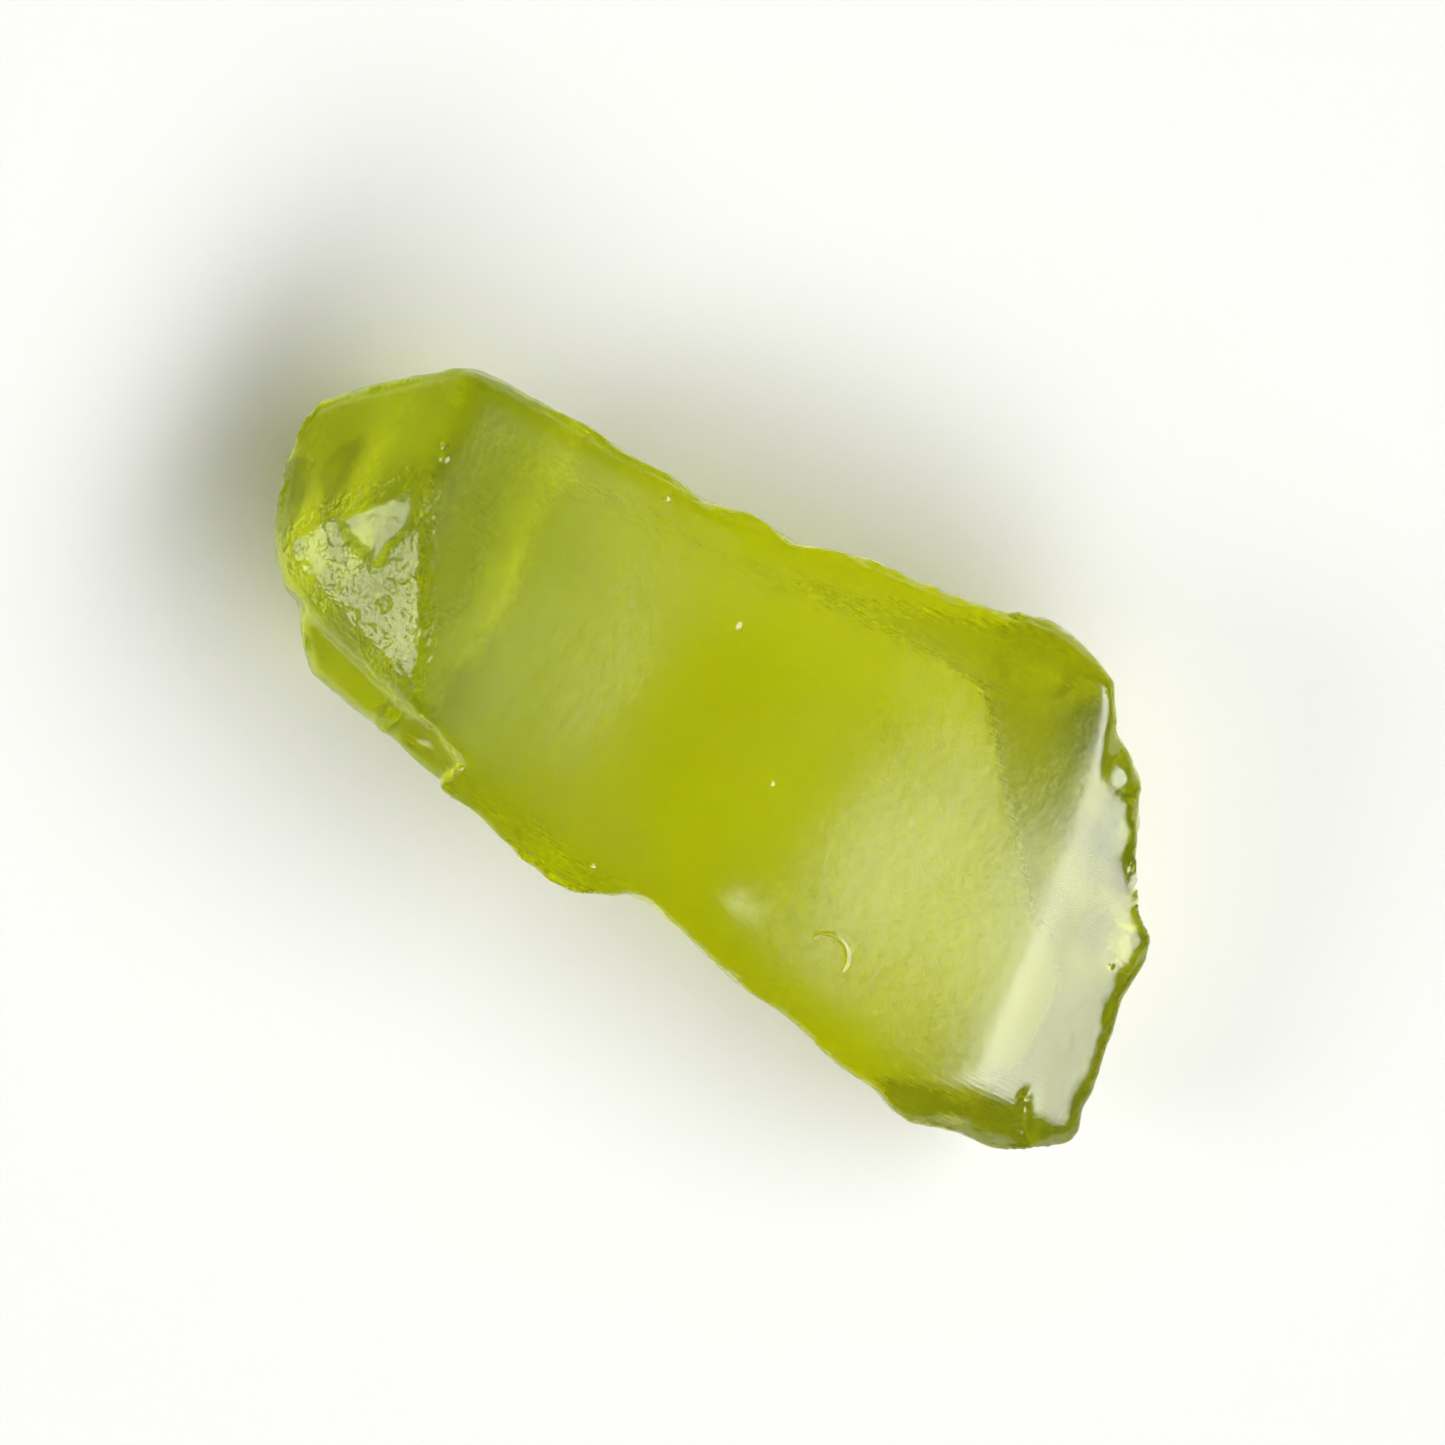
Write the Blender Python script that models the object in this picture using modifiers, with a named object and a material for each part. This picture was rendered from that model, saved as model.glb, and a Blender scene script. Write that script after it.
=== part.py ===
"""A rough peridot crystal: one cleaved plate of gem olivine, lying on its broad lower face.

+X runs along the crystal, from its wedge end to its broad end, +Y runs across it, and +Z points up
from the surface that it rests on. The origin is under the middle of its box. The crystal grew and
broke as one piece, so it is one solid: a plate with an irregular outline, split by flat cleavage
facets, stepped by ledges, and scooped by shell-like breaks, with the edges a little worn.
"""

import math
import random

import bmesh
import bpy
from mathutils import Matrix, Vector, noise
from mathutils.bvhtree import BVHTree

MM = 0.001

# Driving dimensions
LENGTH = 19.9 * MM
WIDTH = 9.8 * MM
TABLE_HEIGHT = 5.35 * MM
BLANK_HEIGHT = 8.0 * MM
BLANK_BOTTOM = -0.6 * MM

# The outline seen from above, in millimetres, anticlockwise from the tip of the wedge end
OUTLINE = [
    (-9.93, 0.85), (-9.62, -0.22), (-9.08, -1.29), (-8.55, -1.95), (-8.10, -2.12), (-7.75, -2.60),
    (-7.25, -3.12), (-5.98, -3.37), (-1.87, -4.19), (-1.13, -4.27), (-0.77, -4.25), (-0.25, -4.04),
    (0.19, -3.78), (0.60, -3.74), (2.84, -4.20), (3.72, -4.29), (5.63, -4.66), (6.22, -4.76),
    (6.62, -4.92), (7.05, -4.90), (7.69, -4.66), (8.28, -4.59), (8.94, -4.44), (9.53, -4.10),
    (9.88, -3.72), (9.93, -3.40), (9.77, -3.02), (9.81, -2.68), (9.48, -1.43), (9.33, -0.69),
    (9.38, 0.05), (9.31, 0.49), (9.05, 0.92), (8.21, 1.74), (7.91, 2.47), (7.60, 3.02),
    (6.73, 3.69), (6.15, 4.49), (5.63, 4.75), (5.07, 4.90), (4.62, 4.92), (4.16, 4.82),
    (3.72, 4.63), (3.25, 4.62), (2.84, 4.41), (0.93, 4.19), (-0.30, 3.71), (-1.43, 3.79),
    (-2.31, 3.54), (-3.19, 3.66), (-4.07, 3.56), (-4.90, 3.64), (-6.87, 3.58), (-7.38, 3.53),
    (-7.75, 3.35), (-9.05, 2.16), (-9.58, 1.62), (-9.86, 1.25),
]
SPINE_HALF_LENGTH = 6.0 * MM

# Upper facets: a point on each in millimetres, the way it faces round +Z, and its dip, in degrees
UPPER_FACETS = {
    "table": ((0.0, 0.0, TABLE_HEIGHT / MM), -15.0, 6.2),
    "wedge roof": ((-7.20, 2.60, 6.12), 177.0, 40.0),
    "wedge patch": ((-6.23, -0.93, 5.97), 217.0, 27.0),
    "wedge rim": ((-8.55, -1.35, 4.60), 222.0, 56.0),
    "broad bevel": ((5.90, -1.50, 4.72), 3.0, 12.0),
    "broad facet": ((7.32, -0.30, 4.50), 9.5, 24.0),
    "broad corner": ((8.25, -3.45, 4.18), -58.0, 43.0),
    "near shoulder": ((-1.60, -3.80, 5.40), -92.3, 36.3),
}

# Lower facets: where each leaves the resting plane in millimetres, the way it faces, and its rise
LOWER_FACETS = {
    "wedge underside": ((-5.10, 0.0), 182.0, 35.0),
    "far corner underside": ((4.45, 2.60), 39.0, 44.0),
    "broad underside": ((7.45, 0.0), 5.0, 50.0),
    "near underside": ((0.0, -2.95), -97.0, 63.0),
    "near broad underside": ((6.60, -3.40), -70.0, 52.0),
    "far underside": ((0.0, 2.95), 95.0, 66.0),
}

# Ledges and worn edges: the two ends of the line behind each in millimetres, with the outside on
# the right hand of the way from one to the other, the dip of its floor and the lean of its back
LEDGES = {
    "wedge ledge": ((-8.60, -1.98, 4.00), (-3.85, -3.18, 3.70), 38.0, 12.0),
    "near broad shoulder": ((0.10, -3.46, 5.24), (7.30, -3.80, 4.46), 35.0, 75.0),
    "far broad shoulder": ((5.30, 4.66, 4.92), (0.20, 3.76, 5.42), 48.0, 75.0),
    "far wedge shoulder": ((-0.60, 3.50, 5.51), (-7.40, 3.28, 6.20), 46.0, 75.0),
}
LEDGE_REACH = 4.0 * MM
BLOCK_SIZE = 60.0 * MM

# Shell-like breaks: the centre and the half sizes of each ellipsoid, in millimetres
SHELL_BREAKS = {
    "base dish": ((-0.35, -0.85, -1.35), (2.90, 2.55, 1.90)),
    "base dish mouth": ((0.95, -2.75, -1.10), (2.00, 1.60, 1.70)),
    "ledge end chip": ((-3.85, -3.60, 4.75), (0.75, 0.55, 0.80)),
    "near notch": ((0.55, -5.20, 1.30), (1.45, 1.50, 2.40)),
    "near scallop": ((3.40, -5.55, 2.10), (1.90, 1.30, 2.60)),
    "far scallop": ((-2.70, 4.55, 2.00), (1.70, 1.25, 1.50)),
    "far corner scallop": ((1.40, 5.55, 1.90), (2.10, 1.55, 2.00)),
    "broad end scallop": ((10.45, 0.20, 1.30), (1.30, 1.90, 1.90)),
    "broad end chip": ((10.08, 2.15, 3.70), (1.15, 1.05, 1.00)),
    "wedge chip": ((-9.80, 2.85, 2.90), (1.20, 0.95, 1.30)),
}

# Flake scars: shallow hollows bitten into the sides by balls much larger than the bite
SCAR_SEED = 11
SCAR_COUNT = 30
SCAR_HEIGHTS = (0.7 * MM, 3.4 * MM)
SCAR_RADII = (1.6 * MM, 3.6 * MM)
SCAR_BITES = (0.10 * MM, 0.30 * MM)

# Swells and hollows of the upper break: centre, half widths and height, in millimetres
SWELLS = [
    (-5.40, 0.20, 1.75, 7.00, 0.30),
    (-1.10, -0.40, 1.50, 2.10, -0.16),
    (1.60, 0.20, 1.60, 2.60, 0.10),
    (4.60, 3.60, 1.60, 1.60, 0.10),
]

# The even skin that rounds the edges, and the roughness that the break left on it
SKIN_GRAIN = 0.13 * MM
WEAR_PASSES = 3
SIDE_LUMP_HEIGHT = 0.09 * MM
SIDE_LUMP_SIZE = 1.5 * MM
SIDE_RIDGE_HEIGHT = 0.05 * MM
SIDE_RIDGE_SIZE = 0.7 * MM
ALL_OVER_HEIGHT = 0.02 * MM
ALL_OVER_SIZE = 0.9 * MM
NOISE_START = Vector((3.7, 1.9, 8.3))
FACES_KEPT = 8400


def remove_everything():
    for thing in list(bpy.data.objects):
        bpy.data.objects.remove(thing)


def new_collection(name):
    made = bpy.data.collections.new(name)
    bpy.context.scene.collection.children.link(made)
    return made


def facing(degrees_round, degrees_dip):
    """The outward normal of a facet that faces a way round +Z and dips from the horizontal."""
    turn, dip = math.radians(degrees_round), math.radians(degrees_dip)
    return Vector((math.sin(dip) * math.cos(turn), math.sin(dip) * math.sin(turn), math.cos(dip)))


def extruded(name, corners, thickness, placing, collection):
    """A flat outline in metres, drawn as a curve, given a thickness, placed, and made a mesh."""
    curve = bpy.data.curves.new(name, "CURVE")
    curve.dimensions = "2D"
    curve.fill_mode = "BOTH"
    curve.extrude = thickness / 2
    spline = curve.splines.new("POLY")
    spline.points.add(len(corners) - 1)
    for point, (x, y) in zip(spline.points, corners):
        point.co = (x, y, 0.0, 1.0)
    spline.use_cyclic_u = True
    drawn = bpy.data.objects.new(name, curve)
    drawn.matrix_world = placing
    collection.objects.link(drawn)
    bpy.context.view_layer.update()
    graph = bpy.context.evaluated_depsgraph_get()
    mesh = bpy.data.meshes.new_from_object(drawn.evaluated_get(graph))
    mesh.transform(placing)
    bpy.data.objects.remove(drawn)
    bm = bmesh.new()
    bm.from_mesh(mesh)
    bmesh.ops.remove_doubles(bm, verts=bm.verts, dist=0.001 * MM)
    bmesh.ops.recalc_face_normals(bm, faces=bm.faces)
    bm.to_mesh(mesh)
    bm.free()
    made = bpy.data.objects.new(name, mesh)
    collection.objects.link(made)
    return made


def as_cutter(obj, collection):
    for holder in list(obj.users_collection):
        holder.objects.unlink(obj)
    collection.objects.link(obj)
    obj.hide_render = True
    obj.display_type = "WIRE"
    return obj


def facet_cutter(name, point, normal, collection):
    """A block whose lower side lies on a flat facet, so that it splits off everything outside."""
    bpy.ops.mesh.primitive_cube_add(size=BLOCK_SIZE)
    block = bpy.context.object
    block.name = name
    block.data.transform(Matrix.Translation((0.0, 0.0, BLOCK_SIZE / 2)))
    block.data.transform(normal.to_track_quat("Z", "Y").to_matrix().to_4x4())
    block.data.transform(Matrix.Translation(point))
    return as_cutter(block, collection)


def ledge_cutter(name, start, end, floor_dip, back_lean, collection):
    """A wedge whose lower side is the ledge's floor and whose inner side is the wall behind it."""
    start, end = Vector(start) * MM, Vector(end) * MM
    along = (end - start).normalized()
    outward = along.cross(Vector((0.0, 0.0, 1.0))).normalized()
    upward = outward.cross(along)
    dip, lean = math.radians(floor_dip), math.radians(back_lean)
    profile = [
        (0.0, 0.0),
        (LEDGE_REACH * math.cos(dip), -LEDGE_REACH * math.sin(dip)),
        (LEDGE_REACH * 1.2, LEDGE_REACH),
        (-LEDGE_REACH * math.sin(lean), LEDGE_REACH * math.cos(lean)),
    ]
    turn = Matrix((outward, upward, -along)).transposed().to_4x4()
    placing = Matrix.Translation((start + end) / 2) @ turn
    cutter = extruded(name, profile, (end - start).length, placing, collection)
    return as_cutter(cutter, collection)


def ball_cutter(name, centre, radii, collection):
    """An ellipsoid that leaves the smooth shell-shaped hollow of a conchoidal break."""
    bpy.ops.mesh.primitive_uv_sphere_add(segments=48, ring_count=28, radius=1.0)
    ball = bpy.context.object
    ball.name = name
    ball.data.transform(Matrix.Diagonal((*radii, 1.0)))
    ball.data.transform(Matrix.Translation(centre))
    return as_cutter(ball, collection)


def place_on_outline(share):
    """The place that lies this share of the way round the outline, in metres."""
    corners = [Vector((x, y, 0.0)) * MM for x, y in OUTLINE]
    runs = list(zip(corners, corners[1:] + corners[:1]))
    left = share * sum((b - a).length for a, b in runs)
    for a, b in runs:
        if left <= (b - a).length:
            return a.lerp(b, left / (b - a).length)
        left -= (b - a).length
    return corners[0]


def flake_scars(blank, collection):
    """Balls that just bite the sides, each found by looking at the blank from outside."""
    bm = bmesh.new()
    bm.from_mesh(blank)
    sides = BVHTree.FromBMesh(bm)
    bm.free()
    draw = random.Random(SCAR_SEED)
    balls = []
    for number in range(SCAR_COUNT):
        outside = place_on_outline((number + draw.uniform(0.0, 0.8)) / SCAR_COUNT)
        spine_x = max(-SPINE_HALF_LENGTH, min(SPINE_HALF_LENGTH, outside.x))
        outside.z = draw.uniform(*SCAR_HEIGHTS)
        inward = (Vector((spine_x, 0.0, outside.z)) - outside).normalized()
        hit, normal, _, _ = sides.ray_cast(outside - inward * LENGTH, inward)
        radius, bite = draw.uniform(*SCAR_RADII), draw.uniform(*SCAR_BITES)
        stretch = Vector((draw.uniform(0.8, 1.3), draw.uniform(0.8, 1.3), draw.uniform(0.9, 1.6)))
        if hit is None:
            continue
        radii = stretch * radius
        reach = 1.0 / math.sqrt(sum((n / r) ** 2 for n, r in zip(normal, radii)))
        balls.append(ball_cutter(f"scar_{number}", hit + normal * (reach - bite), radii, collection))
    return balls


def bake_modifiers(obj):
    """Keeps the shape that the modifiers make, and drops them."""
    bpy.context.view_layer.update()
    graph = bpy.context.evaluated_depsgraph_get()
    mesh = bpy.data.meshes.new_from_object(obj.evaluated_get(graph))
    obj.modifiers.clear()
    obj.data = mesh


def cut_with(obj, cutters):
    for cutter in cutters:
        cut = obj.modifiers.new(cutter.name, "BOOLEAN")
        cut.operation = "DIFFERENCE"
        cut.object = cutter
    bake_modifiers(obj)


def wear_the_edges(obj):
    """Turns the sharp blank into one even skin whose edges are a little round."""
    skin = obj.modifiers.new("skin", "REMESH")
    skin.mode = "VOXEL"
    skin.voxel_size = SKIN_GRAIN
    wear = obj.modifiers.new("wear", "SMOOTH")
    wear.factor = 0.5
    wear.iterations = WEAR_PASSES
    bake_modifiers(obj)


def swell(x, y):
    """The height of the upper break's swells at a place, in metres."""
    height = 0.0
    for centre_x, centre_y, half_x, half_y, rise in SWELLS:
        away = ((x / MM - centre_x) / half_x) ** 2 + ((y / MM - centre_y) / half_y) ** 2
        height += rise * MM * math.exp(-away)
    return height


def smooth_step(low, high, value):
    share = min(1.0, max(0.0, (value - low) / (high - low)))
    return share * share * (3.0 - 2.0 * share)


def roughen(mesh):
    """Swells the upper break, and leaves lumps and ridges on the sides."""
    normals = [vertex.normal.copy() for vertex in mesh.vertices]
    for vertex, normal in zip(mesh.vertices, normals):
        place = vertex.co.copy()
        side = 1.0 - smooth_step(0.45, 0.85, abs(normal.z))
        lump = noise.noise(place / SIDE_LUMP_SIZE + NOISE_START)
        ridge = 1.0 - 2.0 * abs(noise.noise(place / SIDE_RIDGE_SIZE + NOISE_START))
        worn = noise.noise(place / ALL_OVER_SIZE - NOISE_START)
        out = side * (lump * SIDE_LUMP_HEIGHT + ridge * SIDE_RIDGE_HEIGHT) + worn * ALL_OVER_HEIGHT
        lift = swell(place.x, place.y) * smooth_step(0.30, 0.90, normal.z)
        vertex.co = place + normal * out + Vector((0.0, 0.0, lift))


def coarsen(obj):
    """Thins the skin to the faces that its shape needs."""
    thin = obj.modifiers.new("thin", "DECIMATE")
    thin.ratio = FACES_KEPT / (2 * len(obj.data.polygons))
    bake_modifiers(obj)


def bring_to_size(mesh):
    """Centres the crystal over the origin and gives it its length and width."""
    xs = [vertex.co.x for vertex in mesh.vertices]
    ys = [vertex.co.y for vertex in mesh.vertices]
    middle = Vector(((min(xs) + max(xs)) / 2, (min(ys) + max(ys)) / 2, 0.0))
    to_size = Vector((LENGTH / (max(xs) - min(xs)), WIDTH / (max(ys) - min(ys)), 1.0))
    for vertex in mesh.vertices:
        vertex.co = (vertex.co - middle) * to_size


def peridot_green():
    """Gem olivine: yellow-green, see-through, with a soft waxy gloss on the broken faces."""
    made = bpy.data.materials.new("peridot")
    made.use_nodes = True
    shader = made.node_tree.nodes["Principled BSDF"]
    shader.inputs["Base Color"].default_value = (0.45, 0.52, 0.06, 1.0)
    shader.inputs["Roughness"].default_value = 0.22
    shader.inputs["Metallic"].default_value = 0.0
    shader.inputs["IOR"].default_value = 1.67
    shader.inputs["Transmission Weight"].default_value = 0.9
    return made


def build():
    remove_everything()
    pieces = new_collection("rough_peridot_crystal")
    cutters = new_collection("cutters")
    corners = [(x * MM, y * MM) for x, y in OUTLINE]
    standing = Matrix.Translation((0.0, 0.0, BLANK_BOTTOM + BLANK_HEIGHT / 2))
    crystal = extruded("peridot_crystal", corners, BLANK_HEIGHT, standing, pieces)
    down = Vector((1.0, 1.0, -1.0))
    facets = [
        facet_cutter(name, Vector(point) * MM, facing(way, dip), cutters)
        for name, (point, way, dip) in UPPER_FACETS.items()
    ]
    facets += [
        facet_cutter(name, Vector((x, y, 0.0)) * MM, facing(way, rise) * down, cutters)
        for name, ((x, y), way, rise) in LOWER_FACETS.items()
    ]
    cut_with(crystal, facets)
    ledges = [ledge_cutter(name, *ledge, cutters) for name, ledge in LEDGES.items()]
    breaks = [
        ball_cutter(name, Vector(centre) * MM, Vector(radii) * MM, cutters)
        for name, (centre, radii) in SHELL_BREAKS.items()
    ]
    cut_with(crystal, ledges + breaks + flake_scars(crystal.data, cutters))
    wear_the_edges(crystal)
    roughen(crystal.data)
    coarsen(crystal)
    cut_with(crystal, [facet_cutter("resting face", Vector(), Vector((0.0, 0.0, -1.0)), cutters)])
    bring_to_size(crystal.data)
    crystal.data.materials.clear()
    crystal.data.materials.append(peridot_green())
    crystal.data.shade_smooth()
    crystal.data.set_sharp_from_angle(angle=math.radians(28.0))


build()
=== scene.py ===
"""A rough peridot crystal lying on a white board, seen from straight above under a softbox."""

import math
import random

import bmesh
import bpy
from mathutils import Matrix, Vector, noise
from mathutils.bvhtree import BVHTree


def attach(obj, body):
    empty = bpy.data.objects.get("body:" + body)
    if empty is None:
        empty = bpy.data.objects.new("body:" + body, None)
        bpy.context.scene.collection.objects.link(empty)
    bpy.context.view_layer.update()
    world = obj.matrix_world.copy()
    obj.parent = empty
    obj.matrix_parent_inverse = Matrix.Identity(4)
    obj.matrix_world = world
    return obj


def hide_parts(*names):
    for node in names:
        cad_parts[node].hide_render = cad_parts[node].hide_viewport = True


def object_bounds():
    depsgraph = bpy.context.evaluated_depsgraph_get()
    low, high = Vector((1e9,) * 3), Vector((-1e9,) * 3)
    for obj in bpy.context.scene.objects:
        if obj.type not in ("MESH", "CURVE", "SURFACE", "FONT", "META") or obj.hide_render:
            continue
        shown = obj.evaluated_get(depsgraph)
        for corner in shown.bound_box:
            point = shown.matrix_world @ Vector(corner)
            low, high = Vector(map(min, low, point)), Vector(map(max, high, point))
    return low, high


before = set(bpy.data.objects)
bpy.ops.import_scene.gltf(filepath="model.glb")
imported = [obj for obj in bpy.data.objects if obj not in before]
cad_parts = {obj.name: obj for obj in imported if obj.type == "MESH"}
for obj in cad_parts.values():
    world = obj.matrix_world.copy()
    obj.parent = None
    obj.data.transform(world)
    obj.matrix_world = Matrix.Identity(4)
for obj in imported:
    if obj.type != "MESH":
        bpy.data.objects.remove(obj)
cad_low, cad_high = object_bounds()


# The blank: the crystal grew as one stubby prism of gem olivine and was split into a thick plate.
# This is that plate before its facets broke. Its outline seen from above is in millimetres, and is
# drawn as a curve and given its thickness.
MM = 0.001
LENGTH = cad_high.x - cad_low.x
WIDTH = cad_high.y - cad_low.y
BLANK_HEIGHT = 7.2 * MM
BLANK_BOTTOM = -0.6 * MM
SAME_PLACE = 0.001 * MM
OUTLINE = [
    (-9.93, 0.85), (-9.62, -0.22), (-9.08, -1.29), (-8.55, -1.95), (-8.10, -2.12), (-7.75, -2.60),
    (-7.25, -3.12), (-5.98, -3.37), (-1.87, -4.19), (-1.13, -4.27), (-0.77, -4.25), (-0.25, -4.04),
    (0.19, -3.78), (0.60, -3.74), (2.84, -4.20), (3.72, -4.29), (5.63, -4.66), (6.22, -4.76),
    (6.62, -4.92), (7.05, -4.90), (7.69, -4.66), (8.28, -4.59), (8.94, -4.44), (9.53, -4.10),
    (9.88, -3.72), (9.93, -3.40), (9.77, -3.02), (9.81, -2.68), (9.48, -1.43), (9.33, -0.69),
    (9.38, 0.05), (9.31, 0.49), (9.05, 0.92), (8.21, 1.74), (7.91, 2.47), (7.60, 3.02),
    (6.73, 3.69), (6.15, 4.49), (5.63, 4.75), (5.07, 4.90), (4.62, 4.92), (4.16, 4.82),
    (3.72, 4.63), (3.25, 4.62), (2.84, 4.41), (0.93, 4.19), (-0.30, 3.71), (-1.43, 3.79),
    (-2.31, 3.54), (-3.19, 3.66), (-4.07, 3.56), (-4.90, 3.64), (-6.87, 3.58), (-7.38, 3.53),
    (-7.75, 3.35), (-9.05, 2.16), (-9.58, 1.62), (-9.86, 1.25),
]


def extruded(name, corners, thickness, placing):
    """A flat outline in metres, drawn as a curve, given a thickness, placed, and made a mesh."""
    curve = bpy.data.curves.new(name, "CURVE")
    curve.dimensions = "2D"
    curve.fill_mode = "BOTH"
    curve.extrude = thickness / 2
    spline = curve.splines.new("POLY")
    spline.points.add(len(corners) - 1)
    for point, (x, y) in zip(spline.points, corners):
        point.co = (x, y, 0.0, 1.0)
    spline.use_cyclic_u = True
    drawn = bpy.data.objects.new(name, curve)
    bpy.context.scene.collection.objects.link(drawn)
    bpy.context.view_layer.update()
    graph = bpy.context.evaluated_depsgraph_get()
    mesh = bpy.data.meshes.new_from_object(drawn.evaluated_get(graph))
    mesh.transform(placing)
    bpy.data.objects.remove(drawn)
    bm = bmesh.new()
    bm.from_mesh(mesh)
    bmesh.ops.remove_doubles(bm, verts=bm.verts, dist=SAME_PLACE)
    bmesh.ops.recalc_face_normals(bm, faces=bm.faces)
    bm.to_mesh(mesh)
    bm.free()
    made = bpy.data.objects.new(name, mesh)
    bpy.context.scene.collection.objects.link(made)
    return made


blank_corners = [(x * MM, y * MM) for x, y in OUTLINE]
blank_middle = Matrix.Translation((0.0, 0.0, BLANK_BOTTOM + BLANK_HEIGHT / 2))
crystal = extruded("rough_crystal", blank_corners, BLANK_HEIGHT, blank_middle)


# The undersides: olivine parts on flat planes, so the crystal's lower corners are split off flat.
# Each facet is where it leaves the resting plane in millimetres, the way it faces, and its rise.
LOWER_FACETS = {
    "wedge underside": ((-5.10, 0.0), 182.0, 41.0),
    "far corner underside": ((4.45, 2.60), 39.0, 44.0),
    "broad underside": ((7.45, 0.0), 5.0, 50.0),
    "near underside": ((0.0, -2.95), -97.0, 63.0),
    "near broad underside": ((6.60, -3.40), -70.0, 52.0),
    "far underside": ((0.0, 2.95), 95.0, 66.0),
}
BLOCK_SIZE = 60.0 * MM


def facing(degrees_round, degrees_dip):
    """The outward normal of a facet that faces a way round +Z and dips from the horizontal."""
    turn, dip = math.radians(degrees_round), math.radians(degrees_dip)
    return Vector((math.sin(dip) * math.cos(turn), math.sin(dip) * math.sin(turn), math.cos(dip)))


def facet_cutter(name, point, normal):
    """A block whose lower side lies on a flat facet, so that it splits off everything outside."""
    bpy.ops.mesh.primitive_cube_add(size=BLOCK_SIZE)
    block = bpy.context.object
    block.name = name
    block.data.transform(Matrix.Translation((0.0, 0.0, BLOCK_SIZE / 2)))
    block.data.transform(normal.to_track_quat("Z", "Y").to_matrix().to_4x4())
    block.data.transform(Matrix.Translation(point))
    return block


def bake_modifiers(obj):
    """Keeps the shape that the modifiers make, and drops them."""
    bpy.context.view_layer.update()
    graph = bpy.context.evaluated_depsgraph_get()
    mesh = bpy.data.meshes.new_from_object(obj.evaluated_get(graph))
    obj.modifiers.clear()
    obj.data = mesh


def cut_with(obj, cutters):
    """Takes the cutters' shapes off an object, and drops the cutters."""
    for cutter in cutters:
        cut = obj.modifiers.new(cutter.name, "BOOLEAN")
        cut.operation = "DIFFERENCE"
        cut.object = cutter
    bake_modifiers(obj)
    for cutter in cutters:
        bpy.data.objects.remove(cutter)


downwards = Vector((1.0, 1.0, -1.0))
undersides = [
    facet_cutter(name, Vector((x, y, 0.0)) * MM, facing(way, rise) * downwards)
    for name, ((x, y), way, rise) in LOWER_FACETS.items()
]
cut_with(crystal, undersides)


# The flake scars: across the grain olivine breaks like thick glass, and knocks have left shallow
# shell-shaped hollows scattered round the sides.
SCAR_SEED = 11
SCAR_COUNT = 30
SCAR_STRAY = (0.0, 0.8)
SCAR_HEIGHTS = (0.7 * MM, 3.4 * MM)
SCAR_RADII = (1.6 * MM, 3.6 * MM)
SCAR_BITES = (0.10 * MM, 0.30 * MM)
SCAR_STRETCHES = [(0.8, 1.3), (0.8, 1.3), (0.9, 1.6)]
BALL_SEGMENTS = 48
BALL_RINGS = 28
SPINE_HALF_LENGTH = 6.0 * MM


def place_on_outline(share):
    """The place that lies this share of the way round the outline, in metres."""
    corners = [Vector((x, y, 0.0)) * MM for x, y in OUTLINE]
    runs = list(zip(corners, corners[1:] + corners[:1]))
    left = share * sum((b - a).length for a, b in runs)
    for a, b in runs:
        if left <= (b - a).length:
            return a.lerp(b, left / (b - a).length)
        left -= (b - a).length
    return corners[0]


def flake_scars(blank):
    """Balls that just bite the sides, each found by looking at the blank from outside."""
    bm = bmesh.new()
    bm.from_mesh(blank)
    sides = BVHTree.FromBMesh(bm)
    bm.free()
    draw = random.Random(SCAR_SEED)
    balls = []
    for number in range(SCAR_COUNT):
        outside = place_on_outline((number + draw.uniform(*SCAR_STRAY)) / SCAR_COUNT)
        spine_x = max(-SPINE_HALF_LENGTH, min(SPINE_HALF_LENGTH, outside.x))
        outside.z = draw.uniform(*SCAR_HEIGHTS)
        inward = (Vector((spine_x, 0.0, outside.z)) - outside).normalized()
        hit, normal, _, _ = sides.ray_cast(outside - inward * LENGTH, inward)
        radius, bite = draw.uniform(*SCAR_RADII), draw.uniform(*SCAR_BITES)
        stretch = Vector([draw.uniform(*ends) for ends in SCAR_STRETCHES])
        if hit is None:
            continue
        radii = stretch * radius
        reach = 1.0 / math.sqrt(sum((n / r) ** 2 for n, r in zip(normal, radii)))
        bpy.ops.mesh.primitive_uv_sphere_add(
            segments=BALL_SEGMENTS, ring_count=BALL_RINGS, radius=1.0
        )
        ball = bpy.context.object
        ball.name = f"scar_{number}"
        ball.data.transform(Matrix.Diagonal((*radii, 1.0)))
        ball.data.transform(Matrix.Translation(hit + normal * (reach - bite)))
        balls.append(ball)
    return balls


cut_with(crystal, flake_scars(crystal.data))


# The upper face: flat cleavage facets that tumbling has run softly together. Only the wedge end's
# frosted patch and the ledge below it are fresh breaks. Lengths here are in millimetres.
SKIN_GRAIN = 0.080 * MM
# A point on each facet, the way it faces, its dip in degrees, and how softly it meets the rest
TABLE = ((0.0, 0.0, 5.35), -15.0, 6.2)
BEVEL = ((5.90, -1.50, 4.72), 3.0, 12.0, 0.050)
SOFT_FACETS = [
    ((-1.60, -3.60, 5.40), -92.3, 36.3, 0.200),
    ((-7.20, 2.60, 6.12), 177.0, 40.0, 0.090),
    ((-7.90, -1.50, 5.09), 234.0, 43.0, 0.040),
    ((-8.53, -0.60, 5.09), 184.0, 43.0, 0.040),
    ((8.25, -3.45, 4.18), -58.0, 41.0, 0.100),
]
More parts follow.
